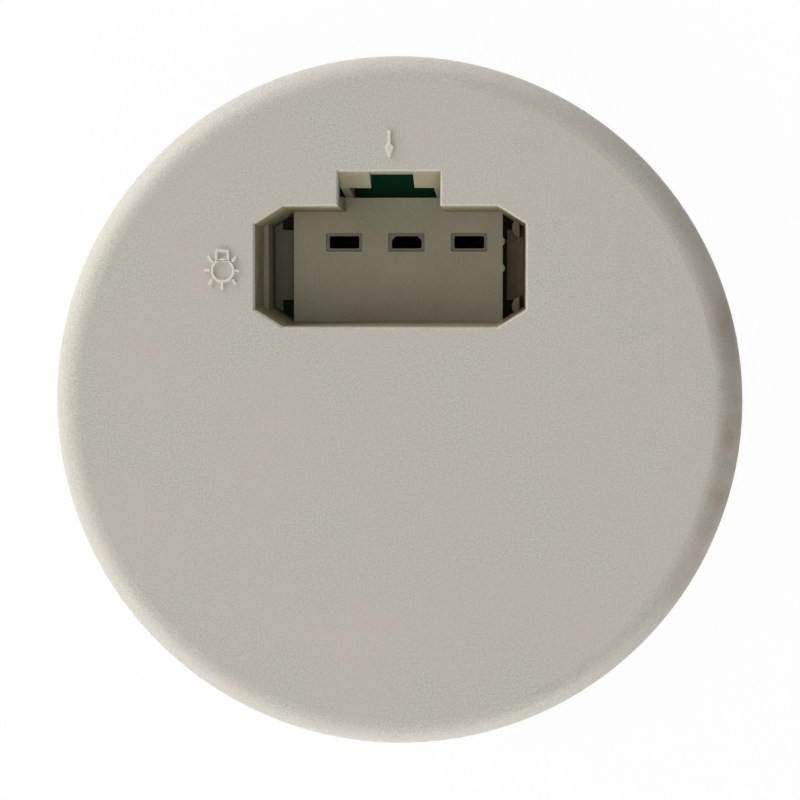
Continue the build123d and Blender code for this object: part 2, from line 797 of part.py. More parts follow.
def make_membrane(radius, x, y):
    """A soft grommet with a thin domed web that a conduit pushes through."""
    neck = radius - membrane_gap
    lip = radius + membrane_lip
    front = box_floor + membrane_lip_thickness
    rim = neck - membrane_neck
    dome_z = box_floor + membrane_dome
    nipple = membrane_nipple_radius
    profile = [(0, dome_z), (nipple, dome_z), (rim, front), (lip, front), (lip, box_floor),
               (neck, box_floor), (neck, 0), (rim, 0), (rim, box_floor - membrane_root),
               (nipple, dome_z - membrane_web), (0, dome_z - membrane_web)]
    return Pos(x, y, 0) * turned(profile)


def make_parts():
    """Every piece of the object by its name."""
    parts = {"box_body": make_box(), "suspension_insert": make_insert()}
    for name, (radius, x, y) in entries().items():
        parts[name] = make_membrane(radius, x, y)
    for side in ("left", "right"):
        parts[f"claw_{side}"] = make_claw(side)
        parts[f"claw_nut_{side}"] = make_nut(side)
        parts[f"claw_screw_{side}"] = make_screw(side)
    parts["cover"] = make_cover()
    parts["socket_base"] = make_socket_base()
    parts["terminal_lid"] = make_lid()
    for pole, x in zip(pole_names, contact_xs):
        parts[f"contact_{pole}"] = make_contact(x)
        parts[f"clamp_spring_{pole}"] = make_spring(x)
        parts[f"release_button_{pole}"] = make_button(x)
    return parts


os.makedirs("parts", exist_ok=True)
for name, shape in make_parts().items():
    export_step(shape, f"parts/{name}.step")
    print(name, "solids", len(shape.solids()), "volume", round(shape.volume, 1))
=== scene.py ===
# %% [markdown]
# A flush ceiling box for one lamp lies on its back, so that the round cover looks up. The solids
# come in as a fixed frame, in metres, with +Z out through the cover and +Y to the key slot. The
# cells after this one add what a solid lacks: finishes, threads, raised signs, light and a camera.

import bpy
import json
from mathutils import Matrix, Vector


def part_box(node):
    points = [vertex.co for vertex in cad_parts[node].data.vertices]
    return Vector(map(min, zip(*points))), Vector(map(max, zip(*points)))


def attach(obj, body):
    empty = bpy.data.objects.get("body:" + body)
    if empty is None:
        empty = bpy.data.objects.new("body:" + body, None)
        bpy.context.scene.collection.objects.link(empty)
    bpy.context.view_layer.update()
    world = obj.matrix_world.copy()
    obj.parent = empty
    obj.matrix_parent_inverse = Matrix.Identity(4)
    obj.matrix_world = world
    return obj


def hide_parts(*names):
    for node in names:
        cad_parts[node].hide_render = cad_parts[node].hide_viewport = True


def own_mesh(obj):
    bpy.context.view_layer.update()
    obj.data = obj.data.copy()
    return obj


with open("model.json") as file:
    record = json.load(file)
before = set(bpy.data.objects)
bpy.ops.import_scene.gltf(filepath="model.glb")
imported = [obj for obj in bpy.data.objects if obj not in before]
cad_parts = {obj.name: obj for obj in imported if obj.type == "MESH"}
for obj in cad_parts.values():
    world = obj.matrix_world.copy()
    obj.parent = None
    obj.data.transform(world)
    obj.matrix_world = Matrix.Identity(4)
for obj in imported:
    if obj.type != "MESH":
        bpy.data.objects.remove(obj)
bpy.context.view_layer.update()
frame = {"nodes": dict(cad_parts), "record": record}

import json
from math import cos, radians, sin, tau

import bmesh
import bpy
from mathutils import Matrix, Vector

mm = 0.001

# %% [markdown]
# Everything else is placed from a few levels of the box. They could be typed in, but here they are
# read back from the solids where that is possible, so that the added pieces keep to the cover and
# the screws if those change a little. A contact's reach past its slot is given, and so is the
# recess: its middle, how far it reaches each way and how deep its table lies, in millimetres.

# %% Levels and places
cover_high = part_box("cover")[1]
face_z = cover_high.z
rim_radius = cover_high.x
screw_low, screw_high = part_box("claw_screw_right")
screw_x = (screw_low.x + screw_high.x) / 2
insert_low, insert_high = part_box("suspension_insert")
fork_reach = 1.8
slot_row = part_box("contact_middle")[1].y / mm - fork_reach
recess_x, recess_y = -0.6, 17.2
recess_reach_x, recess_reach_y = 17.4, 7.9
key_reach_x, key_top = 6.6, 29.4
table_depth = 10.0
print("face at", round(face_z / mm, 2), "mm, rim radius", round(rim_radius / mm, 2), "mm")
print("contact slots lie at y", round(slot_row, 2), "mm")

# %% [markdown]
# The photograph looks almost straight down on the cover, a little from the right and from above.
# An orthographic camera would keep the disc round too, but not show the walls of the recess as the
# photograph does. So a long lens stands near by. The camera's own up direction has to be given,
# because it looks along the world's Z axis.

# %% Camera


def look(spot, target, up=(0.0, 1.0, 0.0)):
    """A matrix at spot whose -Z axis points at target."""
    back = (Vector(spot) - Vector(target)).normalized()
    right = Vector(up).cross(back).normalized()
    turn = Matrix((right, back.cross(right), back)).transposed().to_4x4()
    return Matrix.Translation(Vector(spot)) @ turn


camera_data = bpy.data.cameras.new("camera")
camera = bpy.data.objects.new("camera", camera_data)
bpy.context.scene.collection.objects.link(camera)
spot, aim = Vector((28.9, 17.0, 395.0)) * mm, Vector((0.456, 0.188, 42.0)) * mm
camera.matrix_world = look(spot, aim)
camera_data.lens = 124.7
camera_data.sensor_width = 36.0
camera_data.clip_start = 0.01
camera_data.clip_end = 20.0
bpy.context.scene.camera = camera
print("camera lens", camera_data.lens)

# %% [markdown]
# Materials are written as sums. A wire is the output of a node, and plus, minus and times between
# wires and numbers each add one Math node. Nodes could be added and linked line by line instead,
# but a sum reads like the formula it stands for. Every other node comes from one method, which
# takes the type, the settings and the sockets.

# %% Node helpers


class Wire:
    """One value that a node gives, with arithmetic."""

    def __init__(self, net, socket):
        self.net = net
        self.socket = socket

    def math(self, operation, *values):
        sockets = dict(enumerate(values))
        return self.net.add("ShaderNodeMath", {"operation": operation}, sockets).wire()

    def __add__(self, other):
        return self.math("ADD", self, other)

    def __radd__(self, other):
        return self.math("ADD", other, self)

    def __sub__(self, other):
        return self.math("SUBTRACT", self, other)

    def __rsub__(self, other):
        return self.math("SUBTRACT", other, self)

    def __mul__(self, other):
        return self.math("MULTIPLY", self, other)

    def __rmul__(self, other):
        return self.math("MULTIPLY", other, self)

    def root(self):
        return self.math("SQRT", self)

    def smaller(self, other):
        return self.math("MINIMUM", self, other)

    def larger(self, other):
        return self.math("MAXIMUM", self, other)

    def off(self, centre):
        """How far this value lies from a centre, on either side."""
        return self.math("ABSOLUTE", self - centre)

    def between(self, low, high):
        """0 below low, 1 above high, smooth between them."""
        settings = {"interpolation_type": "SMOOTHSTEP"}
        sockets = {"Value": self, "From Min": low, "From Max": high}
        return self.net.add("ShaderNodeMapRange", settings, sockets).wire("Result")

    def within(self, centre, reach, fade=0.2):
        """1 as far as a reach on either side of a centre, and 0 a fade further out."""
        return 1.0 - self.off(centre).between(reach, reach + fade)

    def below(self, level, fade):
        """0 above a level and 1 a fade below it."""
        return (level - self).between(0.0, fade)


class Made:
    """A node that was added, with its outputs as wires."""

    def __init__(self, net, node):
        self.net = net
        self.node = node

    def wire(self, name=0):
        return Wire(self.net, self.node.outputs[name])


class Net:
    """The emptied node tree of a material or a world."""

    def __init__(self, owner):
        owner.use_nodes = True
        self.owner = owner
        self.tree = owner.node_tree
        self.tree.nodes.clear()

    @classmethod
    def material(cls, name):
        return cls(bpy.data.materials.new(name))

    def add(self, kind, settings=None, sockets=None):
        """A node of one kind: its settings first, then the values and links of its sockets."""
        node = self.tree.nodes.new(kind)
        for key, value in (settings or {}).items():
            setattr(node, key, value)
        for key, value in (sockets or {}).items():
            if isinstance(value, Wire):
                self.tree.links.new(value.socket, node.inputs[key])
            else:
                node.inputs[key].default_value = value
        return Made(self, node)

    def place(self):
        """Where a point lies, in millimetres, as a vector."""
        spot = self.add("ShaderNodeTexCoord").wire("Object")
        sockets = {0: spot, 3: 1000.0}
        return self.add("ShaderNodeVectorMath", {"operation": "SCALE"}, sockets).wire()

    def axes(self, vector):
        split = self.add("ShaderNodeSeparateXYZ", {}, {0: vector})
        return [split.wire(name) for name in "XYZ"]

    def noise(self, vector, scale, detail=2.0, roughness=0.5):
        sockets = {"Vector": vector, "Scale": scale, "Detail": detail, "Roughness": roughness}
        return self.add("ShaderNodeTexNoise", {}, sockets).wire(0)

    def mix(self, amount, first, second):
        """A colour between two colours."""
        return self.add("ShaderNodeMix", {"data_type": "RGBA"},
                        {0: amount, 6: first, 7: second}).wire(2)

    def seen(self):
        """1 for a ray from the camera or from a mirror or glass, 0 for other rays."""
        path = self.add("ShaderNodeLightPath")
        rays = ["Is Camera Ray", "Is Glossy Ray", "Is Transmission Ray"]
        camera_ray, mirror_ray, glass_ray = [path.wire(ray) for ray in rays]
        return (camera_ray + mirror_ray + glass_ray).smaller(1.0)

    def bump(self, height, depth):
        """A normal from a height of 0 to 1, for relief of a depth in millimetres."""
        sockets = {"Height": height, "Distance": depth * mm}
        return self.add("ShaderNodeBump", {}, sockets).wire()

    def finish(self, **sockets):
        """Ends the material in a Principled shader with these sockets."""
        titles = {key: key.replace("_", " ").title().replace("Ior", "IOR") for key in sockets}
        named = {titles[key]: value for key, value in sockets.items()}
        shader = self.add("ShaderNodeBsdfPrincipled", {}, named).wire("BSDF")
        self.add("ShaderNodeOutputMaterial", {}, {"Surface": shader})
        return self.owner


def rgb(red, green, blue):
    """A colour read from a screen, as the light values that a shader wants."""
    light = [channel / 255.0 for channel in (red, green, blue)]
    return (*[c / 12.92 if c < 0.04045 else ((c + 0.055) / 1.055) ** 2.4 for c in light], 1.0)


print("helpers ready")

# %% [markdown]
# Down in the recess the plastic is painted olive as painted shade, on the walls right under the
# edge and a little less on the table, where faint brown streaks of dirt lie too. The wells get a
# darker painted shade, so do the sunken frames of the slots, and a painted brown shade lies on the
# right side. Such marks could be painted on a picture of the surface. Here each place is a mask
# made from X, Y and Z, which needs no picture and no seams.

# %% Recess dirt and painted shade
# the olive, well, frame and right-side tones are painted shade; the streak brown is dirt
shade_olive, streak_brown = rgb(121, 112, 60), rgb(110, 98, 64)
well_shade, frame_shade = rgb(74, 69, 40), rgb(70, 66, 42)
right_shade_brown, hand_brown = rgb(88, 70, 42), rgb(132, 117, 92)
face, table = face_z / mm, face_z / mm - table_depth
table_right = 13.1
frames_reach, frame_half_height = 12.6, 1.9


def recess_shade_and_dirt(net, spot, clean):
    """The colour of the cover with painted shade in the recess and streaks of dirt on its table."""
    x, y, z = net.axes(spot)
    main = x.within(recess_x, recess_reach_x) * y.within(recess_y, recess_reach_y)
    key = x.within(recess_x, key_reach_x) * (y - recess_y).between(-0.2, 0.0)
    key = key * (1.0 - y.between(key_top, key_top + 0.2))
    inside = main.larger(key)
    wall = z.below(face - 0.03, 0.45) * inside
    on_table = z.below(table + 1.2, 0.9)
    streak = net.noise(spot, 0.28, 4.0, 0.6)
    # painted shade: the recess walls go olive, a little less on the table
    tone = net.mix(wall * (0.66 - 0.1 * on_table), clean, shade_olive)
    tone = net.mix(wall * on_table * streak.between(0.35, 0.75) * 0.12, tone, streak_brown)
    # painted shade: the deep wells are darker
    well = z.below(table - 0.4, 1.0) * inside
    tone = net.mix(well * 0.75, tone, well_shade)
    # painted shade: a dark brown on the right side of the recess
    right_shade = wall * x.between(table_right, table_right + 0.6) * (0.6 + 0.35 * streak.between(0.3, 0.7))
    tone = net.mix(right_shade, tone, right_shade_brown)
    # painted shade: the sunken frames of the slots are darker
    sunk = z.below(table - 0.07, 0.05) * inside
    sunk = sunk * y.within(slot_row, frame_half_height) * x.within(recess_x, frames_reach, 0.3)
    return net.mix(sunk * 0.6, tone, frame_shade)


print("table at", round(table, 2), "mm, below a face at", round(face, 2), "mm")

# %% [markdown]
# A faint brown shade has settled at the right rim. A gradient across the whole cover would show it
# too, but as a smooth patch that looks painted on. So it is a mask of the distance from the middle
# of the cover, broken up by a wide noise.

# %% Worn rim
rim = rim_radius / mm


def rim_wear(net, spot, clean):
    """The colour of the cover with the shade at its right rim."""
    x, y, z = net.axes(spot)
    outside = (x * x + y * y).root().between(rim - 4.5, rim - 0.2)
    patches = net.noise(spot, 0.14, 3.0, 0.5).between(0.2, 0.8)
    shade = outside * x.between(28.0, 42.0) * y.within(-6.0, 12.0, 22.0) * patches
    return net.mix(shade * 0.75, clean, hand_brown)


print("shade from a radius of", round(rim - 4.5, 2), "mm")

# %% [markdown]
# The cover is moulded in a tool that was finished by spark erosion, which leaves a fine matt grain
# and no gloss. Grain this fine could be cut into the mesh, but it would take millions of faces. So
# one fine noise makes it in the colour and in the relief, a finer one adds pits to the relief, and
# a wide one gives the slight warm and cool cloudiness of the pale plastic. The raised signs have
# the same recipe a shade lighter, and without the cover's dirt and painted shade.

# %% Cover plastic


def pale_plastic(name, first, second, third, with_dirt_and_shade):
    """The cover's matt plastic in two near tones and a warmer third."""
    net = Net.material(name)
    spot = net.place()
    grain = net.noise(spot, 4.2, 3.0, 0.7)
    pits = net.noise(spot, 7.5, 2.0, 0.5)
    cloud = net.noise(spot, 0.09, 3.0, 0.55)
    pale = net.mix(grain.between(0.36, 0.64), first, second)
    pale = net.mix(cloud.between(0.3, 0.7) * 0.5, pale, third)
    # the cover gets painted shade in its recess and brown dirt at its rim; the signs get neither
    if with_dirt_and_shade:
        pale = rim_wear(net, spot, recess_shade_and_dirt(net, spot, pale))
    height = grain * 0.7 + pits * 0.3
    return net.finish(base_color=pale, roughness=0.52 + 0.12 * grain,
                      specular_ior_level=0.4, normal=net.bump(height, 0.045))


finishes = {
    "cover_plastic": pale_plastic("cover_plastic", rgb(178, 176, 165), rgb(201, 197, 185),
                                  rgb(196, 187, 177), with_dirt_and_shade=True),
    "sign_plastic": pale_plastic("sign_plastic", rgb(207, 203, 190), rgb(218, 214, 201),
                                 rgb(214, 209, 197), with_dirt_and_shade=False),
}
print("made", list(finishes))

# %% [markdown]
# The box and the socket base are moulded in the same dark green, a satin plastic. Faint flow marks
# and a fine grain change its gloss more than its colour. Both mouldings get one recipe with two
# depths of green: the base's darker green is painted shade for the shade of the recess, where it
# looks nearly black and matt, and the box keeps a little shine. Under the two side wells the base
# is painted dark brown, as painted shade in the holes.

# %% Green plastics
hole_shade_brown = rgb(34, 30, 16)


def green_plastic(name, dark, light, shine, shaded_holes=False):
    """Green plastic between a dark and a light tone, with painted shade under the wells where asked.
    """
    net = Net.material(name)
    spot = net.place()
    flow = net.noise(spot, 0.1, 3.0, 0.5)
    grain = net.noise(spot, 5.0, 2.0, 0.5)
    green = net.mix(flow.between(0.2, 0.8), dark, light)
    if shaded_holes:
        # painted shade: the base under the side wells is darkened to brown
        x, y, z = net.axes(spot)
        side = x.off(recess_x).between(12.9, 13.4) * x.within(recess_x, 17.6, 0.6)
        hole_shade = side * y.within(recess_y, recess_reach_y, 0.5) * z.between(27.5, 29.0)
        green = net.mix(hole_shade * (0.75 + 0.25 * flow), green, hole_shade_brown)
    rough = 0.46 + 0.12 * flow + 0.06 * grain
    height = grain * 0.6 + flow * 0.4
    return net.finish(base_color=green, roughness=rough, specular_ior_level=shine,
                      normal=net.bump(height, 0.012))


# the base's darker green is painted shade; the box's green is nearer the plastic's own colour
finishes["green_plastic"] = green_plastic("green_plastic", rgb(0, 64, 34), rgb(0, 78, 42),
                                          shine=0.08, shaded_holes=True)
finishes["box_plastic"] = green_plastic("box_plastic", rgb(0, 92, 52), rgb(2, 102, 58),
                                        shine=0.35)
print("made", list(finishes))

# %% [markdown]
# The conduit entries are soft rubber: nearly black and dull, with the grey bloom that such rubber
# gets. The bloom has no pattern of its own, so a noise is enough for it and no picture is needed.

# %% Membrane rubber


def membrane_rubber():
    net = Net.material("membrane_rubber")
    spot = net.place()
    bloom = net.noise(spot, 1.3, 4.0, 0.65)
    grain = net.noise(spot, 7.0, 2.0, 0.5)
    black = net.mix(bloom.between(0.35, 0.75), rgb(44, 44, 46), rgb(66, 65, 64))
    return net.finish(base_color=black, roughness=0.7 + 0.15 * bloom,
                      normal=net.bump(grain, 0.02))


finishes["membrane_rubber"] = membrane_rubber()
print("made", list(finishes))

# %% [markdown]
# The metals differ in colour and in the marks that making leaves. Rolled strip has fine lines along
# one axis. A Wave node would draw them too evenly, so a noise is stretched along Z instead. Zinc
# plating has a cloudy bluish and yellowish cast from its bath. The brass contacts are darkened to
# nearly black in the forks under the slots, as painted shade deep in the slots, and are brass at the
# wire clamps.

# %% Metals


def rolled_marks(net, spot, along, across):
    """A noise whose marks run along Z."""
    sockets = {0: spot, 1: (across, across, along)}
    stretched = net.add("ShaderNodeVectorMath", {"operation": "MULTIPLY"}, sockets).wire()
    return net.noise(stretched, 1.0, 3.0, 0.6)


def metal(name, first, second, low, high, lines, slot_shade=None):
    """Metal in two tones, with a roughness from low to high and marks that are lines across."""
    net = Net.material(name)
    spot = net.place()
    marks = rolled_marks(net, spot, 0.35, lines)
    cloud = net.noise(spot, 0.5, 4.0, 0.6)
    tone = net.mix(cloud.between(0.3, 0.7), first, second)
    rough = low + (high - low) * marks
    if slot_shade:
        # painted shade: the metal darkens to nearly black towards the slots
        edge, dark = slot_shade
        black = (net.axes(spot)[1] + 2.0 * cloud - 1.0).between(edge - 1.5, edge)
        tone = net.mix(black * 0.96, tone, dark)
        rough = rough + 0.3 * black
    return net.finish(base_color=tone, metallic=1.0, roughness=rough,
                      normal=net.bump(marks, 0.006))


# the brass's dark end is painted shade in the slots
finishes["contact_brass"] = metal("contact_brass", rgb(214, 180, 104), rgb(188, 148, 80),
                                  low=0.22, high=0.4, lines=9.0,
                                  slot_shade=(slot_row - 2.0, rgb(26, 20, 12)))
finishes["spring_steel"] = metal("spring_steel", rgb(166, 166, 164), rgb(148, 146, 142),
                                 low=0.18, high=0.34, lines=14.0)
finishes["zinc_steel"] = metal("zinc_steel", rgb(152, 156, 162), rgb(166, 162, 146),
                               low=0.26, high=0.46, lines=6.0)
print("made", list(finishes))

# %% [markdown]
# The release buttons are small orange mouldings, so that an electrician finds them at once. They
# are polished, and the colour is slightly uneven. On so small a piece two noises do for both, one
# for the tint and a finer one for the gloss.

# %% Button plastic


def button_plastic():
    net = Net.material("button_plastic")
    spot = net.place()
    tint = net.noise(spot, 0.8, 3.0, 0.5)
    fine = net.noise(spot, 9.0, 2.0, 0.5)
    orange = net.mix(tint.between(0.3, 0.7), rgb(222, 100, 24), rgb(234, 116, 36))
    return net.finish(base_color=orange, roughness=0.28 + 0.1 * fine,
                      normal=net.bump(fine, 0.006))


finishes["button_plastic"] = button_plastic()
print("made", list(finishes))

# %% [markdown]
# Each solid now gets the finish that the record names for it. A line for each of them would do, but
# a loop over the record can't miss one. Only the slots of the imported objects are filled, and the
# meshes themselves stay as they came.

# %% Give the solids their finishes
slot_of = {entry["node"]: entry["material_slot"] for entry in frame["record"]["subparts"]}
for name, solid in frame["nodes"].items():
    if not solid.material_slots:
        solid.data.materials.append(finishes[slot_of[name]])
    for slot in solid.material_slots:
        slot.material = finishes[slot_of[name]]
print("finished", len(slot_of), "solids")

# %% [markdown]
# The signs on the cover are raised a quarter of a millimetre: an arrow that shows which way the
# plug's key goes, and a lamp with rays. A flat curve with a filled middle is the natural tool,
# because its bevel gives the sloped flanks that let a moulding leave its tool.

# %% Raised signs
relief = 0.24 * mm
flank = 0.07 * mm


def raised(name, outlines):
    """A raised sign on the cover from closed outlines in millimetres."""
    data = bpy.data.curves.new(name, "CURVE")
    data.dimensions = "2D"
    data.fill_mode = "BOTH"
    data.extrude = relief - flank
    data.bevel_depth = flank
    data.bevel_resolution = 1
    data.offset = -flank
    for outline in outlines:
        line = data.splines.new("POLY")
        line.points.add(len(outline) - 1)
        for point, (x, y) in zip(line.points, outline):
            point.co = (x * mm, y * mm, 0.0, 1.0)
        line.use_cyclic_u = True
    piece = bpy.data.objects.new(name, data)
    piece.location.z = face_z
    bpy.context.scene.collection.objects.link(piece)
    data.materials.append(finishes["sign_plastic"])
    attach(piece, "cover")


def circle(x, y, radius, count=48):
    """A round outline."""
    return [(x + radius * cos(tau * i / count), y + radius * sin(tau * i / count))
            for i in range(count)]


def bar(x0, y0, x1, y1, width):
    """A straight stroke between two points."""
    along = Vector((x1 - x0, y1 - y0)).normalized()
    side = Vector((-along.y, along.x)) * width / 2
    return [(x0 + side.x, y0 + side.y), (x0 - side.x, y0 - side.y),
            (x1 - side.x, y1 - side.y), (x1 + side.x, y1 + side.y)]


arrow_x = -0.62
shaft, barb, point = 0.2, 0.56, 0.13
arrow_top, arrow_neck, arrow_shoulder, arrow_tip = 34.46, 32.75, 32.45, 31.12
half_arrow = [(shaft, arrow_top), (shaft, arrow_neck), (barb, arrow_shoulder), (point, arrow_tip)]
arrow = [(arrow_x - x, y) for x, y in half_arrow] + [(arrow_x + x, y) for x, y in half_arrow[::-1]]
raised("key_arrow", [arrow])
print("arrow", len(arrow), "points")

# %% [markdown]
# The lamp sign is a ring with a small cap above it and seven short rays. All could be outlines of
# one curve. Here the ring, the cap and each ray are a curve of their own, because outlines that
# touch would be filled wrongly where they cross.

# %% Lamp sign
lamp_x, lamp_y = -21.89, 16.75
stroke = 0.33
ring_radius = 1.54
lamp = [circle(lamp_x, lamp_y, ring_radius), circle(lamp_x, lamp_y, ring_radius - stroke)[::-1]]
rays = [(-24.21, 16.8, -23.48, 16.8), (-20.38, 16.73, -19.74, 16.73),
        (-21.95, 15.32, -21.95, 14.36), (-23.23, 15.59, -23.63, 14.96),
        (-20.66, 15.59, -20.2, 15.03), (-23.12, 17.77, -23.75, 18.54),
        (-20.71, 17.89, -20.15, 18.52)]
raised("lamp_ring", lamp)
for index, ray in enumerate(rays):
    raised(f"lamp_ray_{index}", [bar(*ray, stroke)])
cap_left, cap_right, cap_top, cap_foot = -22.86, -21.06, 19.43, 17.97
hollow_left, hollow_right = cap_left + stroke, cap_right - stroke
hollow_top, hollow_foot = cap_top - stroke, cap_foot + 0.05
raised("lamp_cap", [[(cap_left, cap_foot), (cap_right, cap_foot), (cap_right, cap_top),
                     (cap_left, cap_top)],
                    [(hollow_left, hollow_foot), (hollow_left, hollow_top),
                     (hollow_right, hollow_top), (hollow_right, hollow_foot)]])
print("lamp sign", 2 + len(rays), "pieces")

# %% [markdown]
# The round metal pieces are made as rows of points that are joined by faces. A Screw modifier could
# turn a profile into a thread as well, but it ends abruptly. A row here may have any shape, so a
# thread can fade out at both ends.

# %% Rows of points


def ring(x, radius, z, sides):
    """One round row of points about an upright axis at x."""
    return [(x + radius * cos(tau * i / sides), radius * sin(tau * i / sides), z)
            for i in range(sides)]


def grid(name, rings, closed=False):
    """A mesh from rings of points that all have the same count."""
    mesh = bpy.data.meshes.new(name)
    shape = bmesh.new()
    rows = [[shape.verts.new(point) for point in points] for points in rings]
    pairs = list(zip(rows, rows[1:]))
    if closed:
        pairs.append((rows[-1], rows[0]))
    for low, high in pairs:
        count = len(low)
        for i in range(count):
            shape.faces.new((low[i], low[(i + 1) % count], high[(i + 1) % count], high[i]))
    if not closed:
        shape.faces.new(rows[0][::-1])
        shape.faces.new(rows[-1])
    bmesh.ops.recalc_face_normals(shape, faces=shape.faces)
    for face in shape.faces:
        face.smooth = len(face.verts) == 4
    shape.to_mesh(mesh)
    shape.free()
    piece = bpy.data.objects.new(name, mesh)
    bpy.context.scene.collection.objects.link(piece)
    return piece


print("rows of points ready")

# %% [markdown]
# A screw thread is a ridge that climbs as it goes round. So each point of a row gets a radius that
# follows a triangle wave of its height less its share of a turn, and the wave's tops are cut flat,
# as a rolled thread's are.

# %% Threads
rows_per_turn = 6


def wave(share):
    """A triangle wave between 0 and 1 with flat tops."""
    part = abs((share % 1.0) * 2.0 - 1.0)
    return min(1.0, max(0.0, part * 1.3 - 0.15))


def thread_rings(x, core, ridge, pitch, z0, z1, sides):
    """Rows whose radius climbs and falls along a helix."""
    step = pitch / rows_per_turn
    count = int((z1 - z0) / step)
    rings = []
    for index in range(count + 1):
        z = z0 + (z1 - z0) * index / count
        fade = min(1.0, (z - z0) / pitch, (z1 - z) / pitch)
        row = []
        for side in range(sides):
            angle = tau * side / sides
            share = z / pitch - angle / tau
            radius = core + ridge * wave(share) * max(0.0, fade)
            row.append((x + radius * cos(angle), radius * sin(angle), z))
        rings.append(row)
    return rings


print("a turn has", rows_per_turn, "rows")

# %% [markdown]
# The claw screws have a cross recess in the head. Its two arms could be modelled face by face, but
# two bars that a Boolean takes away are shorter to write and stay exact. The rounded upper edge of
# the head is a short list of radii and heights, in millimetres above the seat.

# %% Claw screws
screw_sides = 28
head_height = 2.4 * mm
screw_pitch = 0.7 * mm
thread_core, thread_ridge = 1.68 * mm, 0.3 * mm
tip_radius, tip_length = 1.3 * mm, 0.3 * mm
arm_length, arm_width, arm_height = 4.4 * mm, 1.1 * mm, 3.2 * mm
head_profile = [(2.0, 0.0), (3.14, 0.0), (3.2, 0.06), (3.2, 1.4), (3.1, 1.85), (2.8, 2.15),
                (2.3, 2.33), (1.5, 2.4)]


def cross_arm(x, z, length, width):
    """A bar about the middle of a screw head's top, to be cut away."""
    mesh = bpy.data.meshes.new("cross")
    shape = bmesh.new()
    bmesh.ops.create_cube(shape, size=1.0)
    size = Matrix.Diagonal((length, width, arm_height, 1.0))
    bmesh.ops.transform(shape, matrix=Matrix.Translation((x, 0.0, z)) @ size, verts=shape.verts)
    shape.to_mesh(mesh)
    shape.free()
    arm = bpy.data.objects.new("cross", mesh)
    bpy.context.scene.collection.objects.link(arm)
    return arm


def claw_screw(side, sign):
    """A threaded screw with a cross recess, in place of the plain solid."""
    x, low, seat = sign * screw_x, screw_low.z, screw_high.z - head_height
    tip = [ring(x, tip_radius, low, screw_sides)]
    shank = thread_rings(x, thread_core, thread_ridge, screw_pitch, low + tip_length, seat,
                         screw_sides)
    head = [ring(x, r * mm, seat + z * mm, screw_sides) for r, z in head_profile]
    piece = grid(f"threaded_screw_{side}", tip + shank + head)
    top = seat + head_height
    arms = [cross_arm(x, top, arm_length, arm_width), cross_arm(x, top, arm_width, arm_length)]
    for arm in arms:
        cut = piece.modifiers.new("cross", "BOOLEAN")
        cut.operation = "DIFFERENCE"
        cut.solver = "EXACT"
        cut.object = arm
    bpy.context.view_layer.update()
    shown = piece.evaluated_get(bpy.context.evaluated_depsgraph_get())
    piece.data = bpy.data.meshes.new_from_object(shown)
    piece.modifiers.clear()
    for arm in arms:
        bpy.data.objects.remove(arm)
    piece.data.materials.clear()
    piece.data.materials.append(finishes["zinc_steel"])
    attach(piece, f"screw_{side}")
    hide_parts(f"claw_screw_{side}")
    return piece


for side, sign in (("left", -1), ("right", 1)):
    screw = claw_screw(side, sign)
    print(screw.name, "faces", len(screw.data.polygons))

# %% [markdown]
# The steel insert in the floor has an inside thread for the hook. It could be a sleeve with a screw
# cut out of it. The same helix with its ridge pointing inwards does it without a Boolean, and the
# outside is a plain sleeve with a flange at its foot, given as radii and heights.

# %% Suspension insert
insert_sides = 36
bore, hook_ridge, hook_pitch = 2.95 * mm, -0.45 * mm, 1.0 * mm


def threaded_insert():
    """The insert as one closed band: up the inside thread and down the outside."""
    low, high = insert_low.z, insert_high.z
    inner = thread_rings(0.0, bore, hook_ridge, hook_pitch, low, high, insert_sides)
    profile = [(3.45, high), (3.6, high - 0.15 * mm), (3.6, low + 1.2 * mm), (4.5, low + 1.2 * mm),
               (4.6, low + 1.1 * mm), (4.6, low + 0.1 * mm), (4.5, low)]
    outer = [ring(0.0, r * mm, z, insert_sides) for r, z in profile]
    piece = grid("threaded_insert", inner + outer, closed=True)
    piece.data.materials.append(finishes["zinc_steel"])
    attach(piece, "box")
    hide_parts("suspension_insert")
    return piece


print("insert faces", len(threaded_insert().data.polygons))

# %% [markdown]
# A clamp spring is a steel strip bent to a V. One leg stands fixed, and a release button pushes
# the leaning leg towards it, which frees the wire. Here the strip is a piece of its own, with a
# rounded bend and broken edges.

# %% Clamp springs
strip = 0.35 * mm
bend_radius = 0.8 * mm
tip_rise = 5.6 * mm
tip_lean = 0.67  # the share of half the strip by which the leaning tip reaches out in Y


def spring_line(low, high):
    """The middle line of the strip in the YZ plane, with a round bend that rests on low.z."""
    half = strip / 2
    root_y, tip_y = low.y + half, high.y - half * tip_lean
    up, out = Vector((0.0, 1.0)), Vector((tip_y - root_y, tip_rise)).normalized()
    spread = up.angle(out)
    reach = bend_radius / sin(spread / 2) * cos(spread / 2)
    inward = (up + out).normalized() * bend_radius / sin(spread / 2)
    corner = Vector((root_y, low.z + half + bend_radius - inward.y))
    centre = corner + inward
    root, tip = Vector((root_y, high.z)), Vector((tip_y, corner.y + tip_rise))
    first, last = corner + up * reach - centre, corner + out * reach - centre
    bend = [centre + first.lerp(last, i / 10).normalized() * bend_radius for i in range(11)]
    return [root] + bend + [tip]


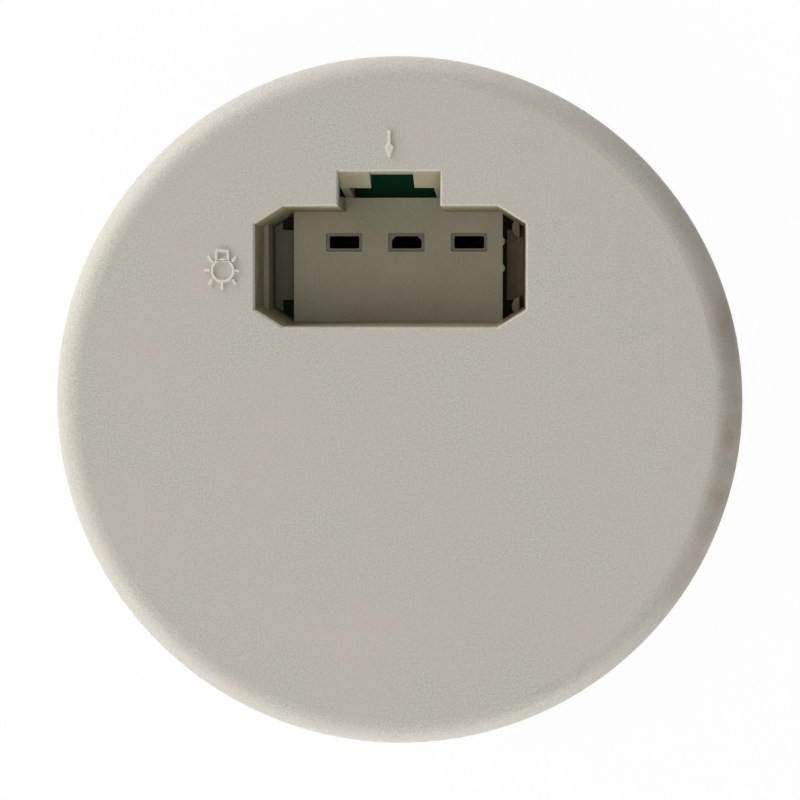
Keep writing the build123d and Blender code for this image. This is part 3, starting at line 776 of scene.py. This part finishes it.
def bent_spring(pole):
    """The spring of one pole: the middle line with the strip's outline along it."""
    low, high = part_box(f"clamp_spring_{pole}")
    line = spring_line(low, high)
    middle, half_width = (low.x + high.x) / 2, (high.x - low.x) / 2
    half, edge = strip / 2, 0.05 * mm
    section = [(half_width - edge, half), (half_width, half - edge), (half_width, edge - half),
               (half_width - edge, -half), (edge - half_width, -half), (-half_width, edge - half),
               (-half_width, half - edge), (edge - half_width, half)]
    rings = []
    for i, point in enumerate(line):
        along = (line[min(i + 1, len(line) - 1)] - line[max(i - 1, 0)]).normalized()
        side = Vector((-along.y, along.x))
        rings.append([(middle + x, point.x + side.x * s, point.y + side.y * s) for x, s in section])
    piece = grid(f"bent_spring_{pole}", rings)
    piece.data.materials.append(finishes["spring_steel"])
    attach(piece, "cover")
    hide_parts(f"clamp_spring_{pole}")
    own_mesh(piece)
    return piece


for pole in ("left", "middle", "right"):
    print("spring", pole, "faces", len(bent_spring(pole).data.polygons))

# %% [markdown]
# The floor is plain and pale. A bright lamp on it would make it white too, but would also light
# the object from below. So Light Path makes it nearly pure white only where the camera or a mirror
# sees it, and a little of the plain floor is left in, so that the soft shadow still shows. The
# world is white to the camera in the same way and otherwise gives a weak, even light.

# %% Floor and world
floor_mesh = bpy.data.meshes.new("floor")
floor_half = 1.6
floor_glow = 0.96
floor_drop = 0.2 * mm
corners = [(-floor_half, -floor_half, 0), (floor_half, -floor_half, 0),
           (floor_half, floor_half, 0), (-floor_half, floor_half, 0)]
floor_mesh.from_pydata(corners, [], [(0, 1, 2, 3)])
floor = bpy.data.objects.new("floor", floor_mesh)
floor.location.z = -floor_drop
bpy.context.scene.collection.objects.link(floor)


def floor_finish():
    """Plain matt white that glows only where it is seen."""
    net = Net.material("floor_white")
    plain = net.add("ShaderNodeBsdfDiffuse", {}, {"Color": (0.86, 0.86, 0.85, 1.0)}).wire()
    white = net.add("ShaderNodeEmission", {}, {"Color": (1.0, 1.0, 1.0, 1.0), "Strength": 1.0})
    sockets = {0: net.seen() * floor_glow, 1: plain, 2: white.wire()}
    shown = net.add("ShaderNodeMixShader", {}, sockets).wire()
    net.add("ShaderNodeOutputMaterial", {}, {"Surface": shown})
    return net.owner


floor_mesh.materials.append(floor_finish())

world = bpy.data.worlds.new("studio")
bpy.context.scene.world = world
sky = Net(world)
ambient = 0.08
strength = ambient + (1.0 - ambient) * sky.seen()
sockets = {"Color": (1.0, 1.0, 1.0, 1.0), "Strength": strength}
sky_light = sky.add("ShaderNodeBackground", {}, sockets)
sky.add("ShaderNodeOutputWorld", {}, {"Surface": sky_light.wire()})
print("world strength", ambient)

# %% [markdown]
# The photograph's light is soft and comes mostly from the left, upper and lower, so the rolled rim
# is brightest there and falls off at the right. A picture of a studio round the scene could give
# that light. Low panels on those sides do it with fewer parts, and a wide one overhead reaches into
# the recess. Each stands a metre away, by azimuth, elevation, size in metres and watts.

# %% Lamps
lamp_aim_z = 0.03


def lamp_panel(name, spot, size, watts):
    """A square soft lamp that points at the cover."""
    data = bpy.data.lights.new(name, "AREA")
    data.shape = "SQUARE"
    data.size = size
    data.energy = watts
    lamp_object = bpy.data.objects.new(name, data)
    lamp_object.matrix_world = look(spot, (0.0, 0.0, lamp_aim_z), (0.0, 1.0, 0.001))
    bpy.context.scene.collection.objects.link(lamp_object)


panels = {"upper_left": (138.0, 12.0, 0.5, 9.2), "lower_left": (222.0, 14.0, 0.5, 5.4),
          "lower": (288.0, 13.0, 0.5, 5.2), "upper": (78.0, 12.0, 0.5, 2.0),
          "overhead": (250.0, 78.0, 0.9, 3.9)}
for name, (azimuth, elevation, size, watts) in panels.items():
    flat, up = cos(radians(elevation)), sin(radians(elevation))
    spot = (flat * cos(radians(azimuth)), flat * sin(radians(azimuth)), lamp_aim_z + up)
    lamp_panel(f"panel_{name}", spot, size, watts)
bpy.context.scene.view_settings.view_transform = "Standard"
print("lamps", len(panels))

# %% [markdown]
# Last, the view layer is brought up to date.

# %% End
bpy.context.view_layer.update()
